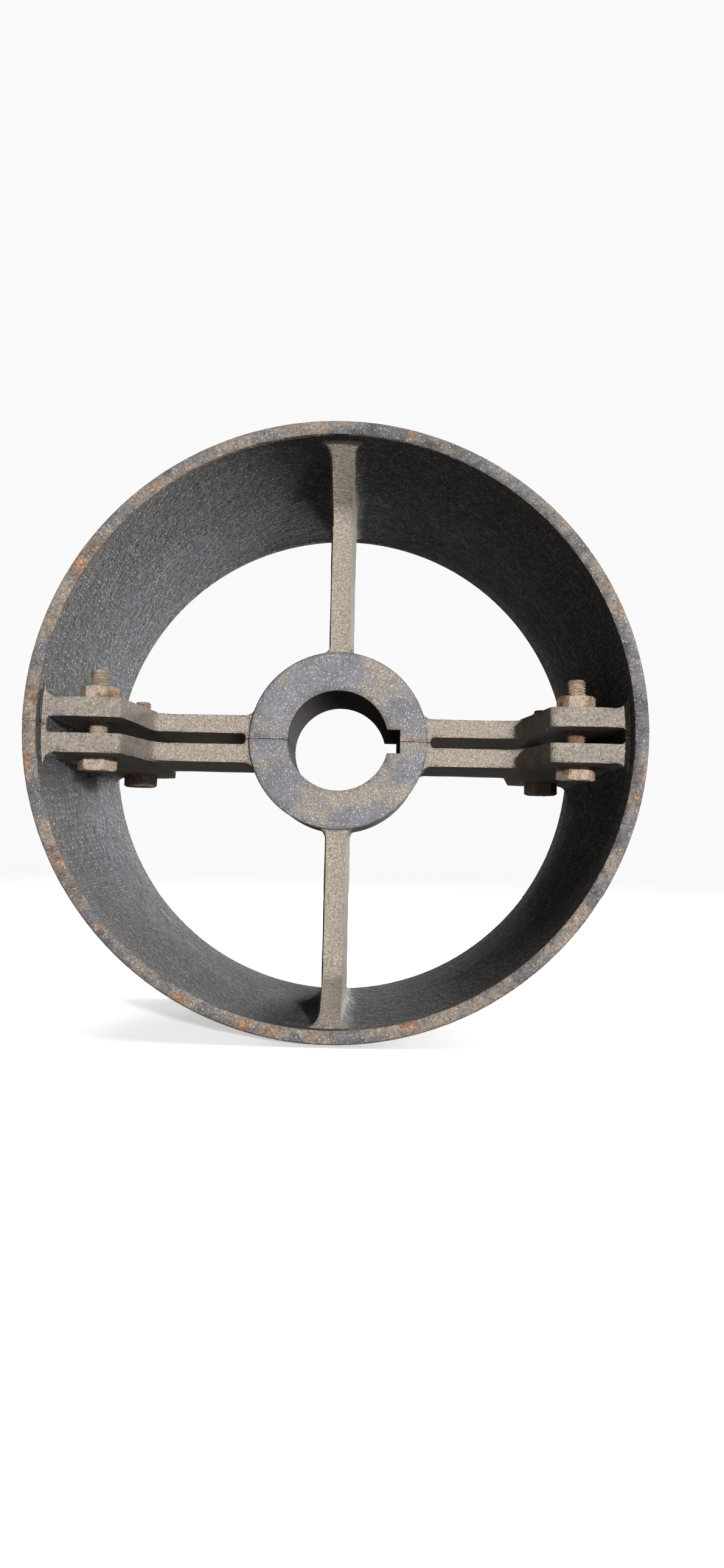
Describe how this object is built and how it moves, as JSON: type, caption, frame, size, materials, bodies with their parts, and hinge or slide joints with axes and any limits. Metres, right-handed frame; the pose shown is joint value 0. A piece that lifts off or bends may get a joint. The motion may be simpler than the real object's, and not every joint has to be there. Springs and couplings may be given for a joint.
{
  "type": "split belt pulley",
  "caption": "Split cast-iron flat-belt pulley: two half castings with arms, lugs and a keyed bore, bolted together round a shaft.",
  "frame": {"origin": "centre of the shaft bore, half way along the face", "axes": "+Y along the shaft axis, front face at -Y; +Z square to the split plane, towards the upper half; +X towards the keyway"},
  "size_m": [0.307, 0.197, 0.307],
  "materials": {
    "casting": "sand-cast, old blue paint worn through, dust and rust",
    "fastener": "rusted"
  },
  "bodies": {
    "lower_half": {"lower_half": "casting"},
    "upper_half": {"upper_half": "casting"},
    "bolt_front_left": {"bolt_front_left": "fastener"},
    "nut_front_left": {"nut_front_left": "fastener"},
    "bolt_front_right": {"bolt_front_right": "fastener"},
    "nut_front_right": {"nut_front_right": "fastener"},
    "bolt_rear_left": {"bolt_rear_left": "fastener"},
    "nut_rear_left": {"nut_rear_left": "fastener"},
    "bolt_rear_right": {"bolt_rear_right": "fastener"},
    "nut_rear_right": {"nut_rear_right": "fastener"}
  },
  "joints": [
    {"name": "upper_half_lift", "type": "slide", "parent": "lower_half", "child": "upper_half", "axis": [0, 0, 1], "range_m": [0, 0.06]},
    {"name": "bolt_front_left_turn", "type": "hinge", "parent": "lower_half", "child": "bolt_front_left", "pos_m": [-0.1235, -0.06, 0], "axis": [0, 0, -1], "range_deg": [0, 4470]},
    {"name": "nut_front_left_travel", "type": "slide", "parent": "upper_half", "child": "nut_front_left", "axis": [0, 0, 1], "range_m": [0, 0.0186]},
    {"name": "bolt_front_right_turn", "type": "hinge", "parent": "lower_half", "child": "bolt_front_right", "pos_m": [0.1235, -0.06, 0], "axis": [0, 0, -1], "range_deg": [0, 4470]},
    {"name": "nut_front_right_travel", "type": "slide", "parent": "upper_half", "child": "nut_front_right", "axis": [0, 0, 1], "range_m": [0, 0.0186]},
    {"name": "bolt_rear_left_turn", "type": "hinge", "parent": "lower_half", "child": "bolt_rear_left", "pos_m": [-0.1235, 0.06, 0], "axis": [0, 0, -1], "range_deg": [0, 4470]},
    {"name": "nut_rear_left_travel", "type": "slide", "parent": "upper_half", "child": "nut_rear_left", "axis": [0, 0, 1], "range_m": [0, 0.0186]},
    {"name": "bolt_rear_right_turn", "type": "hinge", "parent": "lower_half", "child": "bolt_rear_right", "pos_m": [0.1235, 0.06, 0], "axis": [0, 0, -1], "range_deg": [0, 4470]},
    {"name": "nut_rear_right_travel", "type": "slide", "parent": "upper_half", "child": "nut_rear_right", "axis": [0, 0, 1], "range_m": [0, 0.0186]}
  ],
  "couplings": [
    {"joint": "bolt_front_left_turn", "follows": "nut_front_left_travel", "rad_per_m": 4188.8},
    {"joint": "bolt_front_right_turn", "follows": "nut_front_right_travel", "rad_per_m": 4188.8},
    {"joint": "bolt_rear_left_turn", "follows": "nut_rear_left_travel", "rad_per_m": 4188.8},
    {"joint": "bolt_rear_right_turn", "follows": "nut_rear_right_travel", "rad_per_m": 4188.8}
  ]
}
